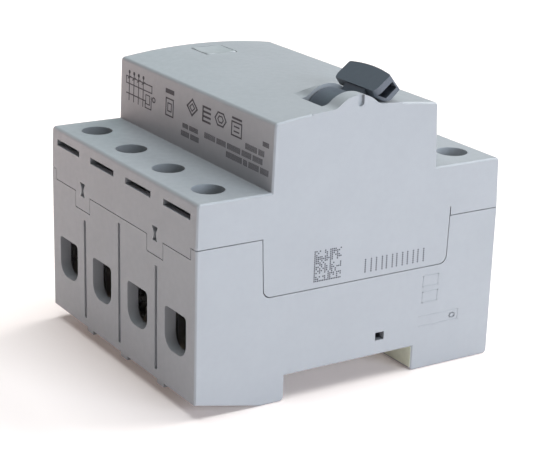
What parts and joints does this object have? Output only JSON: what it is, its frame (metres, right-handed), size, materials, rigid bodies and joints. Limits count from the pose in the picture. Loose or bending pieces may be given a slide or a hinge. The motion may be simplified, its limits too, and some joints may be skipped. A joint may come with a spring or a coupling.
{
  "type": "residual current device",
  "caption": "Modular residual current circuit breaker for a mounting rail, with a tilting toggle, a test button and screw cage terminals on both long sides.",
  "frame": {"origin": "centre of the footprint, on the plane of the feet behind the mounting rail", "axes": "+X across the poles towards the toggle's end, +Y from the line terminals to the load terminals, +Z out of the rail towards the front face"},
  "size_m": [0.0712, 0.0828, 0.0735],
  "materials": {
    "housing_plastic": "satin, fine spark-eroded grain",
    "toggle_plastic": "satin",
    "button_plastic": "satin",
    "clip_plastic": "satin",
    "thermoset": "matt",
    "relay_plastic": "matt",
    "zinc_steel": "zinc plated",
    "spring_steel": "drawn wire",
    "copper": "bare copper",
    "silvered_copper": "silver-faced copper",
    "braid_copper": "stranded",
    "core_coating": "epoxy coated",
    "enamelled_wire": "enamelled",
    "lead_insulation": "smooth",
    "ceramic": "glazed"
  },
  "bodies": {
    "housing": {"housing_base": "housing_plastic", "housing_cover": "housing_plastic", "mechanism_frame": "zinc_steel", "mechanism_pins": "zinc_steel", "toggle_spring": "spring_steel", "trip_spring": "spring_steel", "opening_spring": "spring_steel", "button_spring": "spring_steel", "clip_spring_1": "spring_steel", "clip_spring_2": "spring_steel", "line_bar_1": "silvered_copper", "line_bar_2": "silvered_copper", "line_bar_3": "silvered_copper", "line_bar_4": "silvered_copper", "arc_chute_1": "zinc_steel", "arc_chute_2": "zinc_steel", "arc_chute_3": "zinc_steel", "arc_chute_4": "zinc_steel", "load_bar_1": "copper", "load_bar_2": "copper", "load_bar_3": "copper", "load_bar_4": "copper", "flexible_braids": "braid_copper", "transformer_core": "core_coating", "secondary_winding": "enamelled_wire", "relay_leads": "lead_insulation", "relay_housing": "relay_plastic", "relay_coil": "enamelled_wire", "test_bracket": "relay_plastic", "test_blade": "silvered_copper", "test_resistor": "ceramic"},
    "toggle": {"toggle": "toggle_plastic"},
    "drive_link": {"drive_link": "zinc_steel"},
    "contact_shaft": {"contact_shaft": "thermoset", "moving_contact_1": "silvered_copper", "moving_contact_2": "silvered_copper", "moving_contact_3": "silvered_copper", "moving_contact_4": "silvered_copper", "contact_springs": "spring_steel"},
    "relay_plunger": {"relay_plunger": "zinc_steel"},
    "trip_lever": {"trip_lever": "thermoset"},
    "test_button": {"test_button": "button_plastic"},
    "rail_clip_1": {"rail_clip_1": "clip_plastic"},
    "rail_clip_2": {"rail_clip_2": "clip_plastic"},
    "line_screw_1": {"line_screw_1": "zinc_steel"},
    "line_cage_1": {"line_cage_1": "zinc_steel"},
    "line_screw_2": {"line_screw_2": "zinc_steel"},
    "line_cage_2": {"line_cage_2": "zinc_steel"},
    "line_screw_3": {"line_screw_3": "zinc_steel"},
    "line_cage_3": {"line_cage_3": "zinc_steel"},
    "line_screw_4": {"line_screw_4": "zinc_steel"},
    "line_cage_4": {"line_cage_4": "zinc_steel"},
    "load_screw_1": {"load_screw_1": "zinc_steel"},
    "load_cage_1": {"load_cage_1": "zinc_steel"},
    "load_screw_2": {"load_screw_2": "zinc_steel"},
    "load_cage_2": {"load_cage_2": "zinc_steel"},
    "load_screw_3": {"load_screw_3": "zinc_steel"},
    "load_cage_3": {"load_cage_3": "zinc_steel"},
    "load_screw_4": {"load_screw_4": "zinc_steel"},
    "load_cage_4": {"load_cage_4": "zinc_steel"}
  },
  "joints": [
    {"name": "toggle_turn", "type": "hinge", "parent": "housing", "child": "toggle", "pos_m": [0.0275, -0.0008, 0.0622], "axis": [1, 0, 0], "range_deg": [0, 82], "deforming": ["toggle_spring"]},
    {"name": "link_turn", "type": "hinge", "parent": "toggle", "child": "drive_link", "pos_m": [0.0275, -0.0055, 0.06049], "axis": [1, 0, 0], "range_deg": [-90, 0]},
    {"name": "contact_turn", "type": "hinge", "parent": "housing", "child": "contact_shaft", "pos_m": [0, -0.007, 0.0195], "axis": [1, 0, 0], "range_deg": [-16, 0], "deforming": ["opening_spring", "flexible_braids"]},
    {"name": "plunger_slide", "type": "slide", "parent": "housing", "child": "relay_plunger", "axis": [0, -1, 0], "range_m": [0, 0.0015], "stiffness_N_per_m": 120},
    {"name": "trip_turn", "type": "hinge", "parent": "housing", "child": "trip_lever", "pos_m": [0.0267, 0.0065, 0.04], "axis": [1, 0, 0], "range_deg": [0, 10.8], "deforming": ["trip_spring"]},
    {"name": "test_press", "type": "slide", "parent": "housing", "child": "test_button", "axis": [0, 0, -1], "range_m": [0, 0.0018], "stiffness_N_per_m": 600, "deforming": ["button_spring"]},
    {"name": "clip_1_slide", "type": "slide", "parent": "housing", "child": "rail_clip_1", "axis": [0, 1, 0], "range_m": [0, 0.0035], "stiffness_N_per_m": 900, "deforming": ["clip_spring_1"]},
    {"name": "clip_2_slide", "type": "slide", "parent": "housing", "child": "rail_clip_2", "axis": [0, 1, 0], "range_m": [0, 0.0035], "stiffness_N_per_m": 900, "deforming": ["clip_spring_2"]},
    {"name": "line_screw_1_turn", "type": "hinge", "parent": "housing", "child": "line_screw_1", "pos_m": [-0.0267, -0.0335, 0.034], "axis": [0, 0, -1], "range_deg": [0, 3600]},
    {"name": "line_cage_1_rise", "type": "slide", "parent": "housing", "child": "line_cage_1", "axis": [0, 0, 1], "range_m": [0, 0.008]},
    {"name": "line_screw_2_turn", "type": "hinge", "parent": "housing", "child": "line_screw_2", "pos_m": [-0.0089, -0.0335, 0.034], "axis": [0, 0, -1], "range_deg": [0, 3600]},
    {"name": "line_cage_2_rise", "type": "slide", "parent": "housing", "child": "line_cage_2", "axis": [0, 0, 1], "range_m": [0, 0.008]},
    {"name": "line_screw_3_turn", "type": "hinge", "parent": "housing", "child": "line_screw_3", "pos_m": [0.0089, -0.0335, 0.034], "axis": [0, 0, -1], "range_deg": [0, 3600]},
    {"name": "line_cage_3_rise", "type": "slide", "parent": "housing", "child": "line_cage_3", "axis": [0, 0, 1], "range_m": [0, 0.008]},
    {"name": "line_screw_4_turn", "type": "hinge", "parent": "housing", "child": "line_screw_4", "pos_m": [0.0267, -0.0335, 0.034], "axis": [0, 0, -1], "range_deg": [0, 3600]},
    {"name": "line_cage_4_rise", "type": "slide", "parent": "housing", "child": "line_cage_4", "axis": [0, 0, 1], "range_m": [0, 0.008]},
    {"name": "load_screw_1_turn", "type": "hinge", "parent": "housing", "child": "load_screw_1", "pos_m": [-0.0267, 0.0335, 0.034], "axis": [0, 0, -1], "range_deg": [0, 3600]},
    {"name": "load_cage_1_rise", "type": "slide", "parent": "housing", "child": "load_cage_1", "axis": [0, 0, 1], "range_m": [0, 0.008]},
    {"name": "load_screw_2_turn", "type": "hinge", "parent": "housing", "child": "load_screw_2", "pos_m": [-0.0089, 0.0335, 0.034], "axis": [0, 0, -1], "range_deg": [0, 3600]},
    {"name": "load_cage_2_rise", "type": "slide", "parent": "housing", "child": "load_cage_2", "axis": [0, 0, 1], "range_m": [0, 0.008]},
    {"name": "load_screw_3_turn", "type": "hinge", "parent": "housing", "child": "load_screw_3", "pos_m": [0.0089, 0.0335, 0.034], "axis": [0, 0, -1], "range_deg": [0, 3600]},
    {"name": "load_cage_3_rise", "type": "slide", "parent": "housing", "child": "load_cage_3", "axis": [0, 0, 1], "range_m": [0, 0.008]},
    {"name": "load_screw_4_turn", "type": "hinge", "parent": "housing", "child": "load_screw_4", "pos_m": [0.0267, 0.0335, 0.034], "axis": [0, 0, -1], "range_deg": [0, 3600]},
    {"name": "load_cage_4_rise", "type": "slide", "parent": "housing", "child": "load_cage_4", "axis": [0, 0, 1], "range_m": [0, 0.008]}
  ],
  "couplings": [
    {"joint": "link_turn", "follows": "toggle_turn", "ratio": -1.0944},
    {"joint": "contact_turn", "follows": "toggle_turn", "ratio": -0.19512},
    {"joint": "trip_turn", "follows": "plunger_slide", "rad_per_m": 125},
    {"joint": "line_screw_1_turn", "follows": "line_cage_1_rise", "rad_per_m": 7853.9},
    {"joint": "line_screw_2_turn", "follows": "line_cage_2_rise", "rad_per_m": 7853.9},
    {"joint": "line_screw_3_turn", "follows": "line_cage_3_rise", "rad_per_m": 7853.9},
    {"joint": "line_screw_4_turn", "follows": "line_cage_4_rise", "rad_per_m": 7853.9},
    {"joint": "load_screw_1_turn", "follows": "load_cage_1_rise", "rad_per_m": 7853.9},
    {"joint": "load_screw_2_turn", "follows": "load_cage_2_rise", "rad_per_m": 7853.9},
    {"joint": "load_screw_3_turn", "follows": "load_cage_3_rise", "rad_per_m": 7853.9},
    {"joint": "load_screw_4_turn", "follows": "load_cage_4_rise", "rad_per_m": 7853.9}
  ]
}
